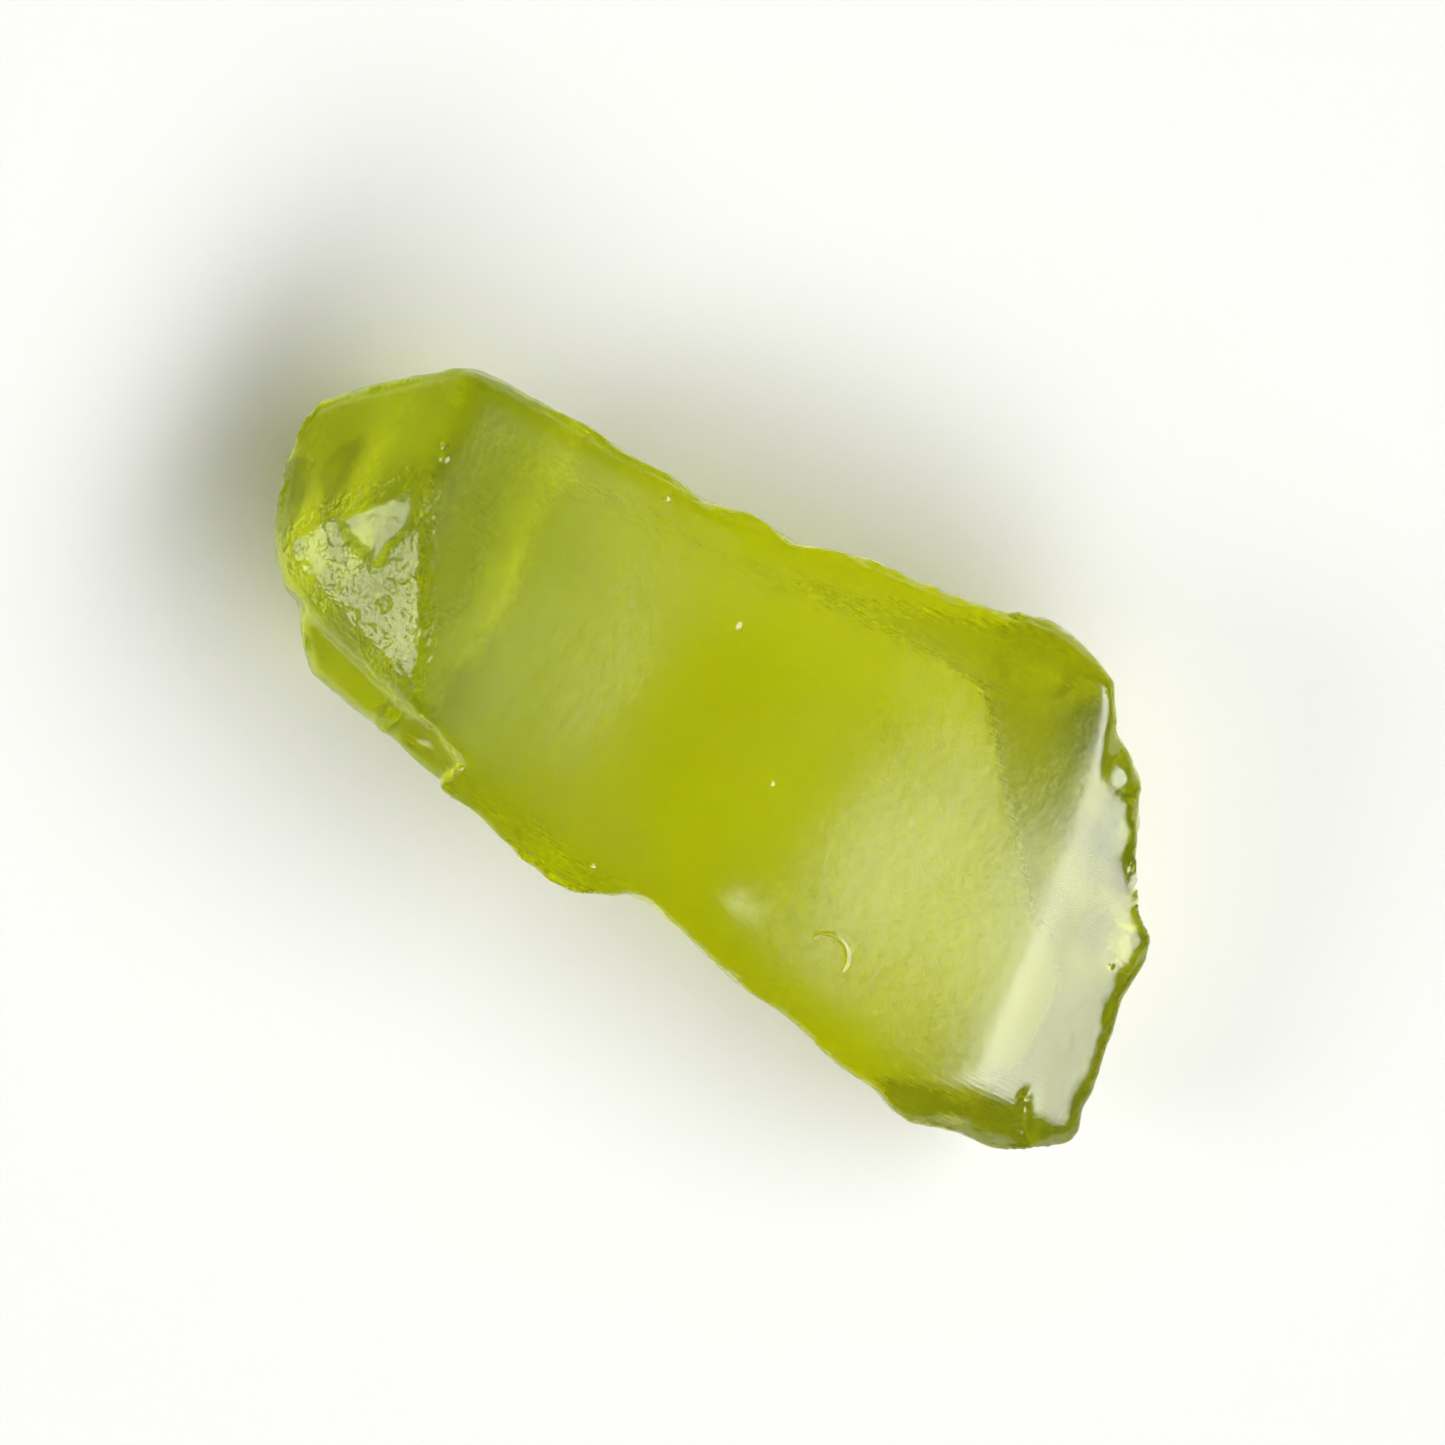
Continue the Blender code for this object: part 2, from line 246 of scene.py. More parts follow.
# The two ends of the line where each shoulder starts, the dip of its slope, and how softly the
# near shoulder and the far ones leave the face
NEAR_SHOULDER = ((0.10, -3.30, 5.24), (7.30, -3.64, 4.46), 33.0)
FAR_SHOULDERS = [
    ((5.30, 4.46, 4.92), (0.20, 3.56, 5.42), 40.0),
    ((-0.60, 3.30, 5.51), (-7.40, 3.08, 6.20), 40.0),
]
NEAR_SOFTNESS = 0.30
FAR_SOFTNESS = 0.20
# Where the bright ridge of the broad end runs, as x for a y, and how much steeper it gets there
RIDGE = (7.315, -0.167, -0.0164)
RIDGE_DROP = math.tan(math.radians(24.0)) - math.tan(math.radians(12.0))
RIDGE_SOFTNESS = 0.10
# Centre, half widths and height of each swell
SWELLS = [
    (-4.30, 0.20, 1.90, 5.00, 0.050),
    (-1.30, -0.10, 1.20, 2.40, -0.040),
    (2.60, -1.80, 2.20, 3.60, 0.200),
    (1.55, -2.95, 0.70, 0.45, 0.150),
]
# The raised flat of the far corner: its tip, the ways its two edges face, and its slope
FLAT_TIP = Vector((5.85, 1.15))
FLAT_EDGE = Vector((0.780, 0.627))
FLAT_SIDE = Vector((0.254, 0.967))
FLAT_SLOPE = 0.160
FLAT_SOFTNESS = 0.28
# The frosted patch, which is one flat break with a thin higher plate left on its upper corner. Its
# pits lie where the noise is past the first share, and are full at the second.
PATCH = ((-6.23, -0.93, 5.91), 217.0, 27.0)
PLATE_CORNER = Vector((-7.09, -0.91))
PLATE_EDGES = (Vector((0.352, 0.936)), Vector((-0.985, 0.170)))
PLATE_HEIGHT = 0.08
PLATE_RISE = 0.35
PIT_SIZE = 0.16
PIT_DEPTH = 0.10
PIT_SHARES = (0.15, 0.55)
# The ledge's back wall from end to end, the dip of its floor, where along it the wall starts to
# crumble, and each layer of crumbs: the level of its noise, how fine it is, and its share
LEDGE = ((-8.60, -1.98, 4.38), (-3.85, -3.20, 5.10), 36.0)
LEDGE_LEAN = math.tan(math.radians(6.0))
CRUMBLE_START = (-6.3, -5.4)
CRUMBLE_SIZE = 0.35
CRUMBLE_REACH = 0.16
CRUMBLE_LAYERS = [(5.0, 1.0, 1.0), (9.0, 2.3, 0.5)]
# The worn border: how wide it is along the sides and at the broad end, how much wider it gets in
# the far corner, and how steep it is at the very edge. At the broad end its width wanders.
BORDER_WIDTH = (0.20, 0.28, 0.60)
BORDER_LEAST = 0.1
BORDER_STEEPNESS = 0.80
BROAD_END = (6.5, 8.0)
FAR_CORNER = ((6.4, 7.0), (2.0, 3.0))
# The level, size and share of each layer of that wander
WANDER_LAYERS = [(2.0, 0.9, 0.9), (7.0, 0.3, 0.7)]
# The crack in the near corner of the broad end, from end to end, how it runs out there as shares
# of its length, and its depth and width
CRACK = (Vector((8.65, -3.19)), Vector((9.01, -4.00)))
CRACK_STARTS = (-0.1, 0.2)
CRACK_STOPS = (1.1, 0.9)
CRACK_DEPTH = 0.22
CRACK_WIDTH = 0.05
# How many times its softness a bend reaches before it is as good as straight
BEND_REACH = 30.0


def smooth_step(low, high, value):
    share = min(1.0, max(0.0, (value - low) / (high - low)))
    return share * share * (3.0 - 2.0 * share)


def soft_rise(distance, softness):
    """Nought before an edge and the distance after it, with a rounded bend between them."""
    if distance > BEND_REACH * softness:
        return distance
    return softness * math.log1p(math.exp(distance / softness))


def facet_height(point, way, dip, x, y):
    turned = math.radians(way)
    out = (x - point[0]) * math.cos(turned) + (y - point[1]) * math.sin(turned)
    return point[2] - out * math.tan(math.radians(dip))


def past_line(start, end, x, y):
    """How far along a line a place lies, how far outside it, and the line's height there."""
    along = Vector((end[0] - start[0], end[1] - start[1]))
    from_start = Vector((x - start[0], y - start[1]))
    share = from_start.dot(along) / along.length_squared
    out = from_start.dot(Vector((along.y, -along.x)).normalized())
    return share, out, start[2] + share * (end[2] - start[2])


def shoulder_height(start, end, dip, x, y):
    _, out, line = past_line(start, end, x, y)
    return line - out * math.tan(math.radians(dip))


outline_corners = [Vector(corner) for corner in OUTLINE]


def from_border(x, y):
    """How far inside the outline a place lies."""
    place = Vector((x, y))
    nearest = LENGTH / MM
    for a, b in zip(outline_corners, outline_corners[1:] + outline_corners[:1]):
        run = b - a
        share = min(1.0, max(0.0, (place - a).dot(run) / run.length_squared))
        nearest = min(nearest, (a + run * share - place).length)
    return nearest


def broad_height(x, y):
    """The broad face with its slow swells, the bevel after it and the flat of the far corner."""
    height = facet_height(*TABLE, x, y)
    for centre_x, centre_y, half_x, half_y, rise in SWELLS:
        away = ((x - centre_x) / half_x) ** 2 + ((y - centre_y) / half_y) ** 2
        height += rise * math.exp(-away)
    height -= soft_rise(height - facet_height(*BEVEL[:3], x, y), BEVEL[3])
    from_tip = Vector((x, y)) - FLAT_TIP
    past_side = FLAT_SIDE.dot(from_tip) * FLAT_EDGE.dot(FLAT_SIDE)
    past_edge = FLAT_EDGE.dot(from_tip)
    inside = past_side - soft_rise(past_side - past_edge, FLAT_SOFTNESS)
    height += FLAT_SLOPE * soft_rise(inside, FLAT_SOFTNESS)
    past_ridge = x - RIDGE[0] - RIDGE[1] * y - RIDGE[2] * y * y
    return height - RIDGE_DROP * soft_rise(past_ridge, RIDGE_SOFTNESS)


def patch_height(x, y):
    """The frosted patch with the plate left on it and its pits."""
    inside = min(edge.dot(Vector((x, y)) - PLATE_CORNER) for edge in PLATE_EDGES)
    height = facet_height(*PATCH, x, y) + min(PLATE_HEIGHT, max(0.0, inside * PLATE_RISE))
    pit = noise.noise(Vector((x, y, 0.0)) / PIT_SIZE)
    return height - PIT_DEPTH * smooth_step(*PIT_SHARES, pit)


def ledge_height(x, y):
    """The ledge's floor and, inside its crumbling back wall, far above the crystal."""
    share, out, line = past_line(*LEDGE[:2], x, y)
    if share > 1.0:
        return BLANK_HEIGHT / MM
    reach = CRUMBLE_REACH * smooth_step(*CRUMBLE_START, x)
    for level, fineness, part in CRUMBLE_LAYERS:
        out += part * reach * noise.noise(Vector((x, y, level)) / CRUMBLE_SIZE * fineness)
    return line - out * (math.tan(math.radians(LEDGE[2])) if out > 0.0 else 1.0 / LEDGE_LEAN)


def border_drop(x, y):
    """How far the worn border has gone down at a place."""
    sides, end, corner = BORDER_WIDTH
    at_end = smooth_step(*BROAD_END, x)
    at_corner = smooth_step(*FAR_CORNER[0], x) * smooth_step(*FAR_CORNER[1], y)
    wander = 1.0
    for level, size, part in WANDER_LAYERS:
        wander += at_end * part * noise.noise(Vector((x, y, level)) / size)
    width = (sides + (end - sides) * at_end + corner * at_corner) * wander
    near = 1.0 - min(1.0, from_border(x, y) / max(BORDER_LEAST, width))
    return 0.5 * BORDER_STEEPNESS * width * near * near


def crack_drop(x, y):
    """How deep the crack is at a place."""
    start, end = CRACK
    share, aside, _ = past_line((*start, 0.0), (*end, 0.0), x, y)
    inside = smooth_step(*CRACK_STARTS, share) * smooth_step(*CRACK_STOPS, share)
    return CRACK_DEPTH * inside * math.exp(-((aside / CRACK_WIDTH) ** 2))


def upper_height(x, y):
    """The height of the finished upper face at a place."""
    height = broad_height(x, y)
    near = shoulder_height(*NEAR_SHOULDER, x, y)
    height -= soft_rise(height - near, NEAR_SOFTNESS)
    far = max(shoulder_height(*shoulder, x, y) for shoulder in FAR_SHOULDERS)
    height -= soft_rise(height - far, FAR_SOFTNESS)
    for point, way, dip, softness in SOFT_FACETS:
        height -= soft_rise(height - facet_height(point, way, dip, x, y), softness)
    height = min(height, patch_height(x, y), ledge_height(x, y))
    return height - border_drop(x, y) - crack_drop(x, y)


def add_skin(obj):
    """Covers an object with one new even skin."""
    skin = obj.modifiers.new("skin", "REMESH")
    skin.mode = "VOXEL"
    skin.voxel_size = SKIN_GRAIN
    bake_modifiers(obj)


# What belongs to the upper face: how far up a place faces, and how high the sides reach at least
UPPER_NORMAL = 0.5
LOWEST_TOP = 3.0 * MM
add_skin(crystal)
faces_up = [vertex.normal.z > UPPER_NORMAL for vertex in crystal.data.vertices]
for vertex, upper in zip(crystal.data.vertices, faces_up):
    if upper or vertex.co.z > LOWEST_TOP:
        height = upper_height(vertex.co.x / MM, vertex.co.y / MM) * MM
        vertex.co.z = height if upper else min(vertex.co.z, height)


# The shell-like breaks: the larger hollows, each pressed into the skin by an ellipsoid, which is
# given by its centre and radii in millimetres.
SHELL_BREAKS = [
    ((0.55, -5.20, 1.30), (1.45, 1.50, 2.40)),
    ((3.40, -5.55, 2.10), (1.90, 1.30, 2.60)),
    ((-2.70, 4.55, 2.00), (1.70, 1.25, 1.50)),
    ((1.40, 5.55, 1.90), (2.10, 1.55, 2.00)),
    ((10.45, 0.20, 1.30), (1.30, 1.90, 1.90)),
    ((10.08, 2.15, 3.70), (1.15, 1.05, 1.00)),
    ((-9.80, 2.85, 2.90), (1.20, 0.95, 1.30)),
]
for centre, radii in SHELL_BREAKS:
    for vertex in crystal.data.vertices:
        away = [(p / MM - c) / r for p, c, r in zip(vertex.co, centre, radii)]
        depth = math.hypot(*away)
        if depth < 1.0:
            vertex.co = [(c + a / depth * r) * MM for c, a, r in zip(centre, away, radii)]


# The worn skin: a new skin over the shaped one is worn a little, far more low down, and then takes
# the lumps, ridges and fine grain that a break across the grain leaves on the sides.
WEAR_FACTOR = 0.5
WEAR_PASSES = 2
LOWER_WEAR_PASSES = 60
LOWER_WEAR_HEIGHTS = (1.6 * MM, 2.8 * MM)
SIDE_LUMP_HEIGHT = 0.09 * MM
SIDE_LUMP_SIZE = 1.5 * MM
SIDE_RIDGE_HEIGHT = 0.05 * MM
SIDE_RIDGE_SIZE = 0.7 * MM
ALL_OVER_HEIGHT = 0.006 * MM
ALL_OVER_SIZE = 1.3 * MM
# How upright a place is where the lumps fade out, upwards and on the undersides, and how low
UPPER_FADE = (0.35, 0.65)
UNDERSIDE_FADE = (-0.38, -0.20)
QUIET_HEIGHTS = (0.2 * MM, 1.4 * MM)
# How much the sides draw in for each length below a height
UNDERCUT_LEAN = 0.08
UNDERCUT_HEIGHT = 3.4 * MM
NOISE_START = Vector((3.7, 1.9, 8.3))


def roughen(mesh):
    """Leaves lumps and ridges on the sides, and hardly any on the upper face."""
    normals = [vertex.normal.copy() for vertex in mesh.vertices]
    for vertex, normal in zip(mesh.vertices, normals):
        place = vertex.co.copy()
        side = 1.0 - smooth_step(*UPPER_FADE, abs(normal.z))
        side *= smooth_step(*QUIET_HEIGHTS, place.z) * smooth_step(*UNDERSIDE_FADE, normal.z)
        lump = noise.noise(place / SIDE_LUMP_SIZE + NOISE_START)
        ridge = 1.0 - 2.0 * abs(noise.noise(place / SIDE_RIDGE_SIZE + NOISE_START))
        worn = noise.noise(place / ALL_OVER_SIZE - NOISE_START)
        out = side * (lump * SIDE_LUMP_HEIGHT + ridge * SIDE_RIDGE_HEIGHT) + worn * ALL_OVER_HEIGHT
        out -= side * UNDERCUT_LEAN * max(0.0, UNDERCUT_HEIGHT - place.z)
        vertex.co = place + normal * out


add_skin(crystal)
lower_part = crystal.vertex_groups.new(name="lower part")
for vertex in crystal.data.vertices:
    share = 1.0 - smooth_step(*LOWER_WEAR_HEIGHTS, vertex.co.z)
    lower_part.add([vertex.index], share, "REPLACE")
wear = crystal.modifiers.new("wear", "SMOOTH")
wear.factor = WEAR_FACTOR
wear.iterations = WEAR_PASSES
lower_wear = crystal.modifiers.new("lower wear", "SMOOTH")
lower_wear.factor = WEAR_FACTOR
lower_wear.iterations = LOWER_WEAR_PASSES
lower_wear.vertex_group = lower_part.name
bake_modifiers(crystal)
crystal.vertex_groups.clear()
roughen(crystal.data)


# Setting down: the finished shape is brought to the length and width of the measured crystal and
# centred over its lower face, one flat break that the crystal rests on. All below it is levelled.
SHARP_ANGLE = math.radians(75.0)
xs = [vertex.co.x for vertex in crystal.data.vertices]
ys = [vertex.co.y for vertex in crystal.data.vertices]
middle = Vector(((min(xs) + max(xs)) / 2, (min(ys) + max(ys)) / 2, 0.0))
to_size = Vector((LENGTH / (max(xs) - min(xs)), WIDTH / (max(ys) - min(ys)), 1.0))
for vertex in crystal.data.vertices:
    vertex.co = (vertex.co - middle) * to_size
    vertex.co.z = max(vertex.co.z, 0.0)
crystal.data.shade_smooth()
crystal.data.set_sharp_from_angle(angle=SHARP_ANGLE)


# Peridot: gem olivine coloured by iron, see-through, yellow-green, with a soft satin face where
# it was tumbled and a duller skin underneath. Blue is taken out almost wholly on the way.
PERIDOT_IOR = 1.67
# The share of red, green and blue that the iron lets through, and how densely it lies
IRON_COLOUR = (0.9838, 0.9896, 0.000, 1.0)
IRON_DENSITY = 1300.0


def linear(hex_colour):
    """An sRGB hex colour as the linear colour that Blender works with."""
    parts = [int(hex_colour[i : i + 2], 16) / 255 for i in (1, 3, 5)]
    return (*[c / 12.92 if c <= 0.04045 else ((c + 0.055) / 1.055) ** 2.4 for c in parts], 1.0)


def add_node(tree, kind, inputs=None, **settings):
    """Adds a node with its settings, and fills or links its inputs."""
    made = tree.nodes.new(kind)
    for name, value in settings.items():
        setattr(made, name, value)
    for name, value in (inputs or {}).items():
        if isinstance(value, bpy.types.NodeSocket):
            tree.links.new(value, made.inputs[name])
        else:
            made.inputs[name].default_value = value
    return made


def add_maths(tree, kind, first, second=0.0):
    return add_node(tree, "ShaderNodeMath", {0: first, 1: second}, operation=kind).outputs["Value"]


def add_fade(tree, value, start, full, top=1.0):
    """Adds a soft step that goes from nought at the start to the top at the full value."""
    low_end, high_end = (0.0, top) if start < full else (top, 0.0)
    inputs = {"Value": value, "From Min": min(start, full), "From Max": max(start, full)}
    inputs.update({"To Min": low_end, "To Max": high_end})
    made = add_node(tree, "ShaderNodeMapRange", inputs, interpolation_type="SMOOTHSTEP")
    return made.outputs["Result"]


def add_noise(tree, place, size, detail=0.0):
    """Adds noise whose lumps are a size in millimetres, with layers of finer detail."""
    inputs = {"Vector": place, "Scale": 1 / (size * MM), "Detail": detail}
    return add_node(tree, "ShaderNodeTexNoise", inputs).outputs["Fac"]


def add_distance(tree, place, centre):
    inputs = {0: place, 1: Vector(centre) * MM}
    return add_node(tree, "ShaderNodeVectorMath", inputs, operation="DISTANCE").outputs["Value"]


def add_reach(tree, place, way):
    """Adds how far a place lies along a direction."""
    inputs = {0: place, 1: way}
    made = add_node(tree, "ShaderNodeVectorMath", inputs, operation="DOT_PRODUCT")
    return made.outputs["Value"]


peridot = bpy.data.materials.new("satin_worn_peridot")
peridot.use_nodes = True
tree = peridot.node_tree
tree.nodes.clear()
coordinates = add_node(tree, "ShaderNodeTexCoord").outputs
place = coordinates["Object"]
places = add_node(tree, "ShaderNodeSeparateXYZ", {"Vector": place}).outputs
upwards = add_node(tree, "ShaderNodeSeparateXYZ", {"Vector": coordinates["Normal"]}).outputs["Z"]

# How dull the skin is: satin with a faint mottle, and duller low down, wherever it faces the table
# and in the wedge end. Each of these is where it starts, where it is full, and how much it adds.
SATIN = 0.14
MOTTLE_SIZE = 2.2
MOTTLE = (0.35, 0.65, 0.04)
LOW_DOWN = (2.5 * MM, 0.5 * MM, 0.34)
UNDERNEATH = (0.0, -0.4, 0.38)
WEDGE_END = (-2.6 * MM, -4.4 * MM, 0.085)
mottle = add_fade(tree, add_noise(tree, place, MOTTLE_SIZE), *MOTTLE)
low_down = add_fade(tree, places["Z"], *LOW_DOWN)
dull = add_maths(tree, "MAXIMUM", low_down, add_fade(tree, upwards, *UNDERNEATH))
dull = add_maths(tree, "MAXIMUM", dull, add_fade(tree, places["X"], *WEDGE_END))
roughness = add_maths(tree, "ADD", add_maths(tree, "ADD", mottle, SATIN), dull)

# Fine relief: grain, slanting rubbing marks, the frosted patch, tiny chips and a crescent scratch.
# The grain and the marks are coarser than the real ones, which are too fine to show.
RELIEF_STRENGTH = 0.30
RELIEF_DEPTH = 0.02 * MM
GRAIN_SIZE = 0.25
GRAIN_DETAIL = 2.0
RUBBING_SIZE = 0.07
RUBBING_TURN = (0.0, 0.0, math.radians(-32.0))
RUBBING_STRETCH = (0.09, 1.0, 0.5)
RUBBING_SHARE = 0.6
# How fine and strong the frosting is, and how far off the patch it fades out and is full
FROSTING_SIZE = 0.16
FROSTING_DETAIL = 1.0
FROSTING_SHARE = 5.0
FROSTING_DEPTHS = (0.13 * MM, 0.06 * MM)
# Where each tiny chip lies and its radius in millimetres, and how high it stands as a share
CHIPS = [
    (-0.72, 1.78, 5.42, 0.13, 7.0),
    (1.40, -0.54, 5.35, 0.09, 6.0),
    (-3.12, 3.28, 5.60, 0.14, 7.0),
    (8.90, -0.32, 3.75, 0.09, 6.0),
    (8.28, 1.47, 3.95, 0.10, 6.0),
    (-6.43, -2.48, 4.40, 0.16, 8.0),
    (-0.81, -3.70, 4.90, 0.12, 7.0),
    (-7.30, 1.95, 6.05, 0.12, 8.0),
    (-7.20, 1.74, 6.12, 0.13, 8.0),
    (2.84, -4.04, 4.60, 0.10, 7.0),
]
# The scratch is the part of a ring that lies near a middle
CRESCENT = (3.98, -2.93, 0.0)
CRESCENT_RADIUS = 0.44 * MM
CRESCENT_WIDTH = 0.06 * MM
CRESCENT_SHARE = 6.0
CRESCENT_MIDDLE = (4.13, -2.52, 0.0)
CRESCENT_ENDS = (0.62 * MM, 0.30 * MM)
grain = add_noise(tree, place, GRAIN_SIZE, GRAIN_DETAIL)
slanting = add_node(
    tree,
    "ShaderNodeMapping",
    {"Vector": place, "Rotation": RUBBING_TURN, "Scale": RUBBING_STRETCH},
)
rubbing = add_noise(tree, slanting.outputs["Vector"], RUBBING_SIZE)
relief = add_maths(tree, "ADD", grain, add_maths(tree, "MULTIPLY", rubbing, RUBBING_SHARE))
patch_normal = facing(*PATCH[1:])
patch_level = patch_normal.dot(Vector(PATCH[0])) * MM
above_patch = add_maths(tree, "SUBTRACT", add_reach(tree, place, patch_normal), patch_level)
off_patch = add_maths(tree, "ABSOLUTE", above_patch)
frosting = add_noise(tree, place, FROSTING_SIZE, FROSTING_DETAIL)
frosting = add_maths(tree, "SUBTRACT", frosting, 0.5)
frosting = add_maths(tree, "MULTIPLY", frosting, FROSTING_SHARE)
frosting = add_maths(tree, "MULTIPLY", frosting, add_fade(tree, off_patch, *FROSTING_DEPTHS))
relief = add_maths(tree, "ADD", relief, frosting)
for x, y, z, radius, rise in CHIPS:
    chip = add_fade(tree, add_distance(tree, place, (x, y, z)), radius * MM, 0.0, rise)
    relief = add_maths(tree, "ADD", relief, chip)
flat_place = add_node(
    tree, "ShaderNodeVectorMath", {0: place, 1: (1.0, 1.0, 0.0)}, operation="MULTIPLY"
).outputs["Vector"]
past_ring = add_maths(tree, "SUBTRACT", add_distance(tree, flat_place, CRESCENT), CRESCENT_RADIUS)
off_ring = add_maths(tree, "ABSOLUTE", past_ring)
ring = add_fade(tree, off_ring, CRESCENT_WIDTH, 0.0, CRESCENT_SHARE)
arc = add_fade(tree, add_distance(tree, flat_place, CRESCENT_MIDDLE), *CRESCENT_ENDS)
relief = add_maths(tree, "ADD", relief, add_maths(tree, "MULTIPLY", ring, arc))
bump = add_node(
    tree,
    "ShaderNodeBump",
    {"Height": relief, "Strength": RELIEF_STRENGTH, "Distance": RELIEF_DEPTH},
)

# Painted shade: the tint is darker in the wedge end and darkest in a band across it, standing in
# for the shade that falls there. Each is a place along the crystal in millimetres and the tint
# there.
PAINTED_SHADE_TINTS = [
    (-9.5, "#C4C79B"),
    (-7.2, "#BFC497"),
    (-5.8, "#C8CE9E"),
    (-4.5, "#F1F5DA"),
    (-3.0, "#FCFDF3"),
    (-1.8, "#FFFFFF"),
]
PAINTED_SHADE_WAY = (1.0, 0.2, 0.0)
PAINTED_SHADE_ENDS = (-10.0, 10.0)
share = add_node(
    tree,
    "ShaderNodeMapRange",
    {
        "Value": add_reach(tree, place, PAINTED_SHADE_WAY),
        "From Min": PAINTED_SHADE_ENDS[0] * MM,
        "From Max": PAINTED_SHADE_ENDS[1] * MM,
    },
).outputs["Result"]
# The ramp paints the shade of the wedge end into the base colour.
painted_shade = add_node(tree, "ShaderNodeValToRGB", {"Fac": share})
painted_shade.color_ramp.interpolation = "EASE"
while len(painted_shade.color_ramp.elements) < len(PAINTED_SHADE_TINTS):
    painted_shade.color_ramp.elements.new(0.5)
for stop, (shade_place, tint) in zip(painted_shade.color_ramp.elements, PAINTED_SHADE_TINTS):
    stop.position = (shade_place - PAINTED_SHADE_ENDS[0]) / (PAINTED_SHADE_ENDS[1] - PAINTED_SHADE_ENDS[0])
    stop.color = linear(tint)

# Painted light on the ledge: it is painted paler, lifting most of the wedge end's painted shade
# there. These are the way out of its back wall, how far out along it the wall stands, where the
# ledge starts along the crystal, and its painted tint
LEDGE_WAY = (-0.249, -0.969, 0.0)
LEDGE_WALL = (4.00 * MM, 4.20 * MM)
LEDGE_START = (-3.2 * MM, -4.2 * MM)
LEDGE_PAINTED_LIGHT = "#DDE19E"
past_wall = add_fade(tree, add_reach(tree, place, LEDGE_WAY), *LEDGE_WALL)
on_ledge = add_maths(tree, "MULTIPLY", past_wall, add_fade(tree, places["X"], *LEDGE_START))
# The ledge is painted lighter than the painted shade around it.
shade_and_ledge_light = add_node(
    tree,
    "ShaderNodeMix",
    {"Factor": on_ledge, 6: painted_shade.outputs["Color"], 7: linear(LEDGE_PAINTED_LIGHT)},
    data_type="RGBA",
).outputs[2]

# Painted light and shade: it is painted palest along the far side, and painted a little darker in
# one cloud of shade near the middle. Each is where it starts and is full, with how much it takes
# off the tint.
SHADE_SHORT_OF_FAR_SIDE = (2.6 * MM, 1.2 * MM, 0.055)
PAINTED_SHADE_CLOUD_MIDDLE = (-0.2, -0.2, 0.0)
PAINTED_SHADE_CLOUD = (2.3 * MM, 0.3 * MM, 0.055)
shade_short_of_far_side = add_fade(tree, places["Y"], *SHADE_SHORT_OF_FAR_SIDE)
painted_shade_cloud = add_fade(tree, add_distance(tree, flat_place, PAINTED_SHADE_CLOUD_MIDDLE), *PAINTED_SHADE_CLOUD)
unshaded_share = add_maths(tree, "SUBTRACT", 1.0, add_maths(tree, "ADD", shade_short_of_far_side, painted_shade_cloud))
colour = add_node(
    tree, "ShaderNodeVectorMath", {0: shade_and_ledge_light, "Scale": unshaded_share}, operation="SCALE"
).outputs["Vector"]

# The body's base colour carries the painted shade and painted light of the tints above.
body = add_node(
    tree,
    "ShaderNodeBsdfPrincipled",
    {
        "Base Color": colour,
        "Roughness": roughness,
        "IOR": PERIDOT_IOR,
        "Transmission Weight": 1.0,
        "Normal": bump.outputs["Normal"],
    },
)
iron = add_node(
    tree, "ShaderNodeVolumeAbsorption", {"Color": IRON_COLOUR, "Density": IRON_DENSITY}
)
add_node(
    tree,
    "ShaderNodeOutputMaterial",
    {"Surface": body.outputs["BSDF"], "Volume": iron.outputs["Volume"]},
)
crystal.data.materials.clear()
crystal.data.materials.append(peridot)

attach(crystal, "root")
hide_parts("peridot_crystal")


# The board: a plain white sheet, matt enough to hide its own shine, under the whole crystal. A
# thin gap keeps it off the flat lower face, as the air does under a real one.
BOARD_SIZE = 4.0
BOARD_GAP = 0.02 * MM
BOARD_COLOUR = "#E1E1DE"
BOARD_ROUGHNESS = 0.7
BOARD_SHINE = 0.2
bpy.ops.mesh.primitive_plane_add(size=BOARD_SIZE)
board = bpy.context.object
board.name = "white_board"
board.location.z = -BOARD_GAP
white = bpy.data.materials.new("matt_white_board")
white.use_nodes = True
white_shader = white.node_tree.nodes["Principled BSDF"]
white_shader.inputs["Base Color"].default_value = linear(BOARD_COLOUR)
white_shader.inputs["Roughness"].default_value = BOARD_ROUGHNESS
white_shader.inputs["Specular IOR Level"].default_value = BOARD_SHINE
board.data.materials.append(white)


# The light: one large softbox hung flat over the right of the board, brightest towards its middle,
# and a small lamp low on the left. The room is dark, so the crystal shines only where it faces
# them, and a pale glow comes from below the horizon.
ROOM = 0.03
GLOW = (0.02, -0.03, 0.80)
BOX_BRIGHTNESS = 7.5
# Where the softbox has no light and where it is full, as shares of its height over the board: at
# its near end towards +X, at its far end, and across it
BOX_START = (0.19, 0.72)
BOX_END = (1.80, 0.90)
BOX_WIDTH = (1.50, 0.75)
# The lowest way that still counts, which keeps the horizon from being divided by nought
LOWEST_WAY = 0.02
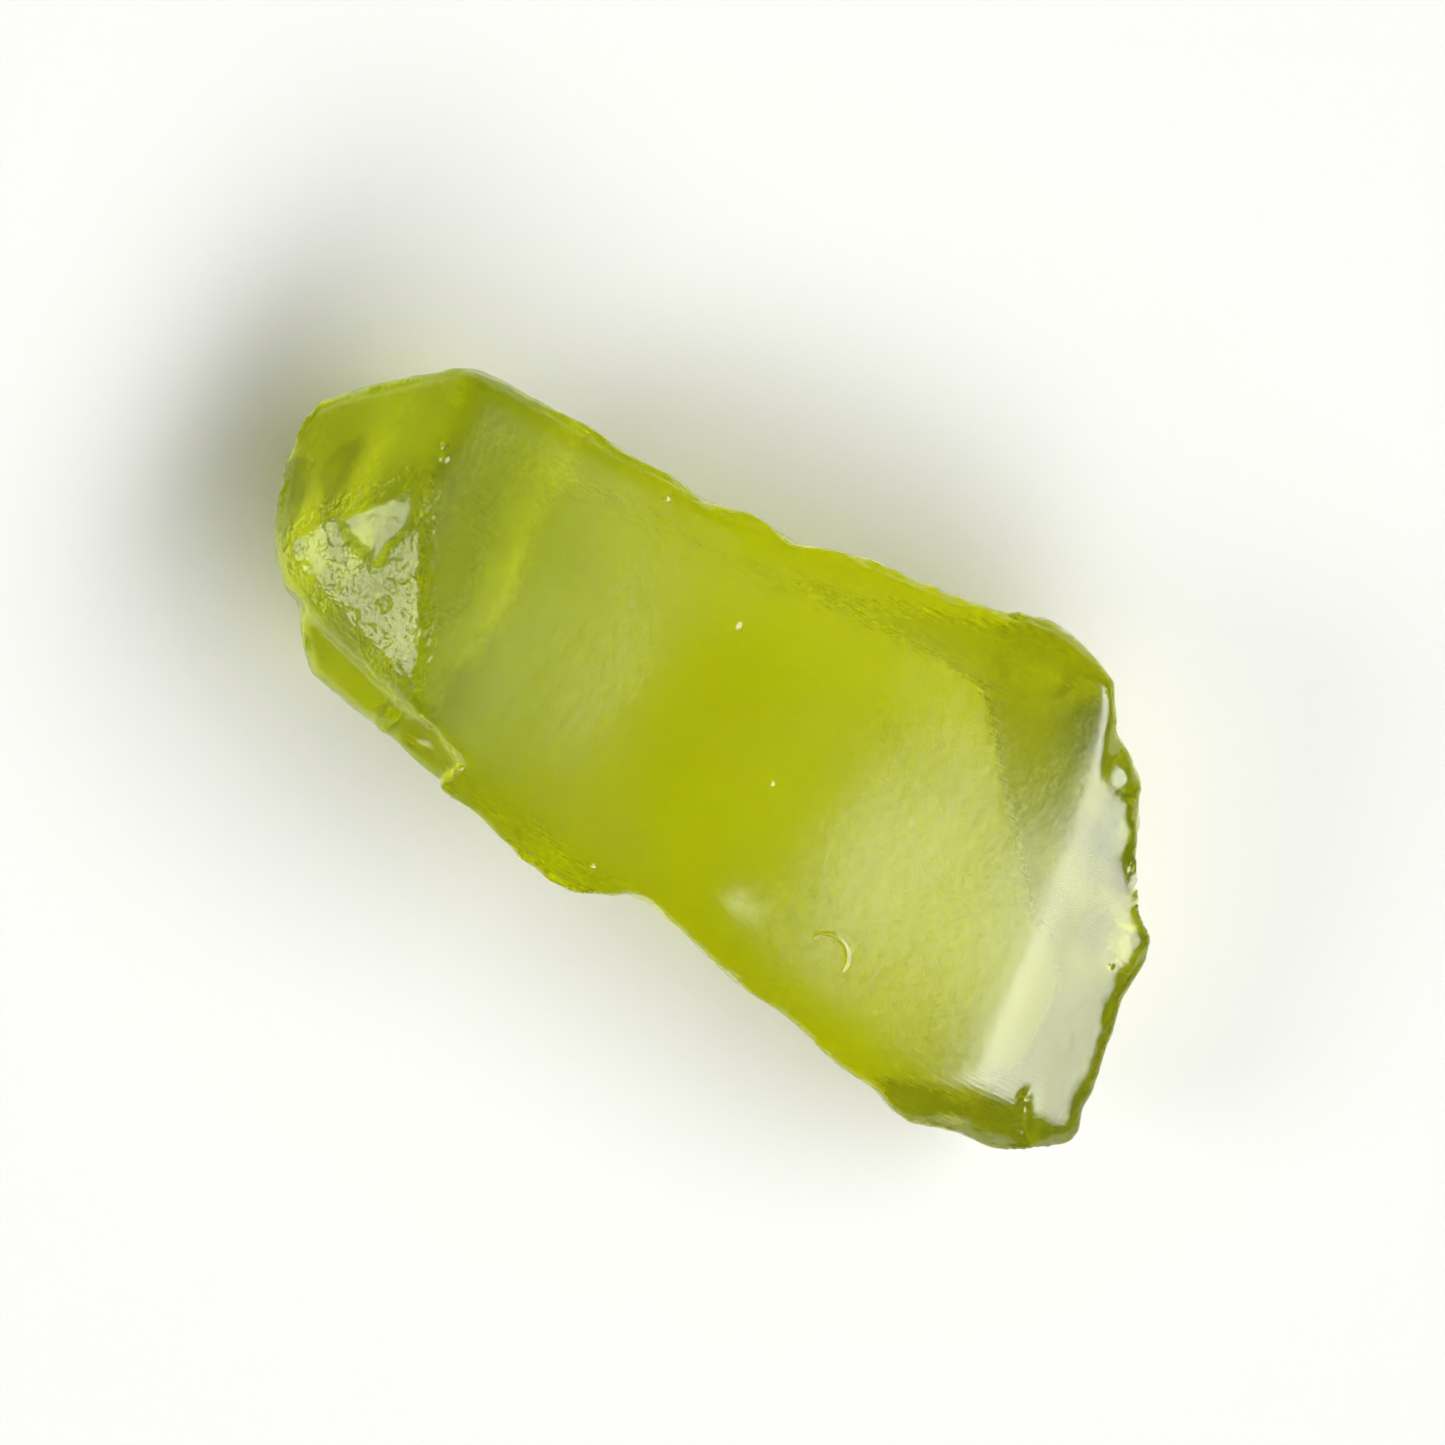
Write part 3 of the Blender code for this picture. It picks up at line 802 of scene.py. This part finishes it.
# The way to the lamp, the angles off it where the lamp ends and is full, and its brightness
LAMP_WAY = facing(217.0, 54.0)
LAMP_SPREAD = (17.0, 9.0)
LAMP_BRIGHTNESS = 4.8
world = bpy.data.worlds.new("softbox_room")
bpy.context.scene.world = world
world.use_nodes = True
tree = world.node_tree
tree.nodes.clear()
way = add_node(tree, "ShaderNodeTexCoord").outputs["Generated"]
parts = add_node(tree, "ShaderNodeSeparateXYZ", {"Vector": way}).outputs
height = add_maths(tree, "MAXIMUM", parts["Z"], LOWEST_WAY)
along = add_maths(tree, "DIVIDE", parts["X"], height)
across = add_maths(tree, "ABSOLUTE", add_maths(tree, "DIVIDE", parts["Y"], height))
box = add_fade(tree, along, *BOX_START, BOX_BRIGHTNESS)
box = add_maths(tree, "MULTIPLY", box, add_fade(tree, along, *BOX_END))
box = add_maths(tree, "MULTIPLY", box, add_fade(tree, across, *BOX_WIDTH))
lamp_edges = [math.cos(math.radians(angle)) for angle in LAMP_SPREAD]
lamp = add_fade(tree, add_reach(tree, way, LAMP_WAY), *lamp_edges, LAMP_BRIGHTNESS)
glow = add_maths(tree, "ADD", add_fade(tree, parts["Z"], *GLOW), ROOM)
light = add_maths(tree, "ADD", add_maths(tree, "ADD", box, lamp), glow)
lights = add_node(tree, "ShaderNodeBackground", {"Color": linear("#FFFFFF"), "Strength": light})
add_node(tree, "ShaderNodeOutputWorld", {"Surface": lights.outputs["Background"]})


# The camera: it looks straight down with a long lens, turned so that the crystal lies from upper
# left to lower right of the picture.
CAMERA_HEIGHT = 0.45
CAMERA_TURN = math.radians(30.0)
VIEW_WIDTH = 1.42 * LENGTH
camera_data = bpy.data.cameras.new("camera")
camera_data.sensor_width = 36.0
camera_data.lens = camera_data.sensor_width * CAMERA_HEIGHT / VIEW_WIDTH
camera_data.clip_start = 0.01
camera = bpy.data.objects.new("camera", camera_data)
camera.location = (0.0, 0.0, CAMERA_HEIGHT)
camera.rotation_euler = (0.0, 0.0, CAMERA_TURN)
bpy.context.scene.collection.objects.link(camera)
bpy.context.scene.camera = camera
bpy.context.scene.view_settings.view_transform = "Standard"
